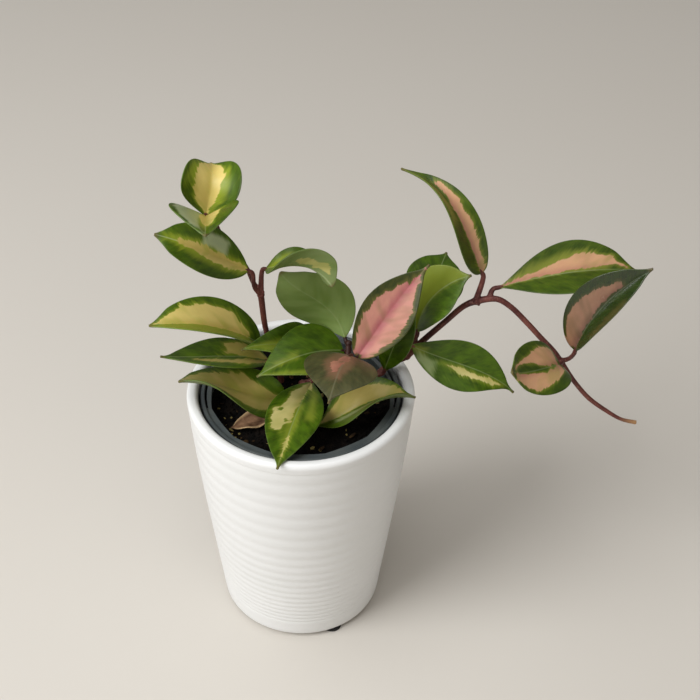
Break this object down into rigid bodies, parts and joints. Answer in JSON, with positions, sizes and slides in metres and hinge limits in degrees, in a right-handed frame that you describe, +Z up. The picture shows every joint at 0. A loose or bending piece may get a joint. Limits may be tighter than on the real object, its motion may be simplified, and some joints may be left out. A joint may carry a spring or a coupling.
{
  "type": "potted wax plant",
  "caption": "Wax plant with waxy cream, pink and green leaves on purple stems and a trailing vine, in a dark nursery pot inside a white ribbed cover pot.",
  "frame": {"origin": "on the cover pot's axis, at the surface that the pads under it stand on", "axes": "+Z up along the pot's axis, +X towards the side where the vine trails, -Y towards the viewer"},
  "size_m": [0.2564, 0.1226, 0.2883],
  "materials": {
    "pad": "matt black",
    "glazed_white": "satin white glaze",
    "dark_plastic": "dark grey, slightly shiny",
    "potting_soil": "moist, crumbly, near black",
    "stem": "purple brown, satin",
    "dry_plant": "dry, brown",
    "leaf": "waxy, green with cream and pink"
  },
  "bodies": {
    "root": {"pad_front": "pad", "pad_right": "pad", "pad_left": "pad", "cover_pot": "glazed_white", "nursery_pot": "dark_plastic", "soil": "potting_soil", "stem_left": "stem", "stem_middle": "stem", "stem_low": "stem", "vine": "stem", "stub_left": "dry_plant", "stub_right": "dry_plant", "dry_leaf": "dry_plant", "leaf_top_back": "leaf", "leaf_top_front": "leaf", "leaf_upper_left": "leaf", "leaf_arching": "leaf", "leaf_left_high": "leaf", "leaf_left_middle": "leaf", "leaf_left_low": "leaf", "leaf_fore_small": "leaf", "leaf_fore_dark": "leaf", "leaf_front": "leaf", "leaf_grey": "leaf", "leaf_right_low": "leaf", "leaf_pink": "leaf", "leaf_back_pale": "leaf", "leaf_vine_near": "leaf", "leaf_vine_behind": "leaf", "leaf_vine_inner": "leaf", "leaf_vine_low": "leaf", "leaf_vine_arch": "leaf", "leaf_vine_right": "leaf", "leaf_vine_gloss": "leaf", "leaf_vine_round": "leaf"}
  },
  "joints": []
}
